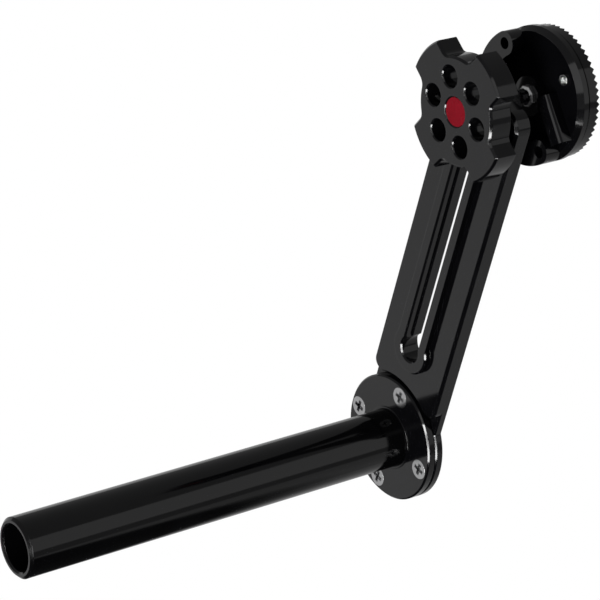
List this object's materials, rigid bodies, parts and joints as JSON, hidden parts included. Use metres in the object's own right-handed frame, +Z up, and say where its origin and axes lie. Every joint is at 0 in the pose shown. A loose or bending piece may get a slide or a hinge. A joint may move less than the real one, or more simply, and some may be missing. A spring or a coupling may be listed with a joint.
{
  "type": "articulating friction arm",
  "caption": "Friction arm for camera accessories: a tubular rod, a flanged slotted arm across its end, and a toothed rosette head that a notched knob clamps anywhere along the slot.",
  "frame": {"origin": "centre of the flange's front face, on the rod's axis", "axes": "+Z up along the slotted arm, -Y along the rod away from the arm, +X to the right seen from the knob's side"},
  "size_m": [0.0338, 0.1315, 0.1347],
  "materials": {
    "rod": "gloss black anodised",
    "flange": "gloss black anodised",
    "bright_screws": "bright zinc",
    "arm": "gloss black anodised",
    "knob": "gloss black anodised",
    "badge": "gloss red",
    "insert_brass": "turned",
    "washer_black": "black acetal",
    "guide": "black acetal",
    "stud": "black oxide",
    "washer_steel": "spring steel",
    "nut": "black oxide",
    "collar": "bright",
    "head": "gloss black anodised",
    "rosette": "gloss black anodised",
    "thread_steel": "plain"
  },
  "bodies": {
    "arm": {"rod_tube": "rod", "rod_flange": "flange", "flange_screws": "bright_screws", "arm_plate": "arm"},
    "slider": {"front_guide": "guide", "back_guide": "guide", "back_washer": "washer_black"},
    "head": {"spring_washer": "washer_steel", "stud_nut": "nut", "clamp_stud": "stud", "hub_collar": "collar", "rosette_base": "head", "rosette_ring": "rosette", "ring_screws": "bright_screws", "centre_insert": "thread_steel"},
    "thrust": {"thrust_washer": "washer_black"},
    "knob": {"knob_body": "knob", "knob_badge": "badge", "knob_insert": "insert_brass"}
  },
  "joints": [
    {"name": "slot_slide", "type": "slide", "parent": "arm", "child": "slider", "axis": [0, 0, 1], "range_m": [-0.066, 0]},
    {"name": "head_turn", "type": "hinge", "parent": "slider", "child": "head", "pos_m": [0, 0.005, 0.1015], "axis": [0, 1, 0], "continuous": true},
    {"name": "knob_lift", "type": "slide", "parent": "head", "child": "thrust", "axis": [0, -1, 0], "range_m": [0, 0.00141]},
    {"name": "knob_turn", "type": "hinge", "parent": "thrust", "child": "knob", "pos_m": [0, -0.005, 0.1015], "axis": [0, -1, 0], "range_deg": [0, 720]}
  ],
  "couplings": [
    {"joint": "knob_lift", "follows": "knob_turn", "m_per_rad": 0.00011141}
  ]
}
